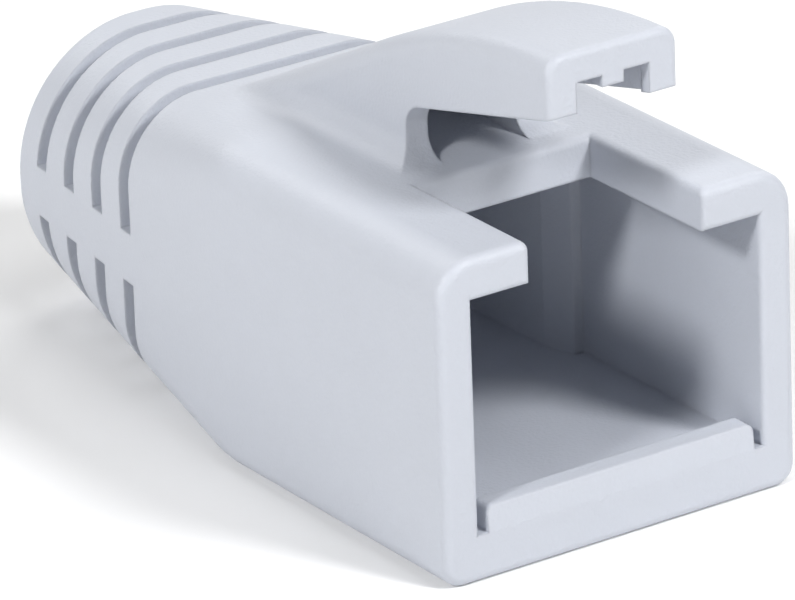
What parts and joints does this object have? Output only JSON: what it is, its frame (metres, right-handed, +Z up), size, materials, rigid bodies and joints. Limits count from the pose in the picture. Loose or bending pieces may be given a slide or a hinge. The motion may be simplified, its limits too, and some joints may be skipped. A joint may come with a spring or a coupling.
{
  "type": "rj45 strain relief boot",
  "caption": "Moulded strain relief boot for a modular network plug: box with a latch slot and a curved hood over it, tapering to a grooved round collar for the cable.",
  "frame": {"origin": "middle of the boot's extent, on the plane of its flat underside", "axes": "+Y runs along the cable from the plug mouth to the cable end, +Z points up to the latch hood, +X is across the boot"},
  "size_m": [0.0148, 0.0304, 0.0182],
  "materials": {
    "boot_plastic": "satin"
  },
  "bodies": {
    "root": {"strain_relief_boot": "boot_plastic"}
  },
  "joints": []
}
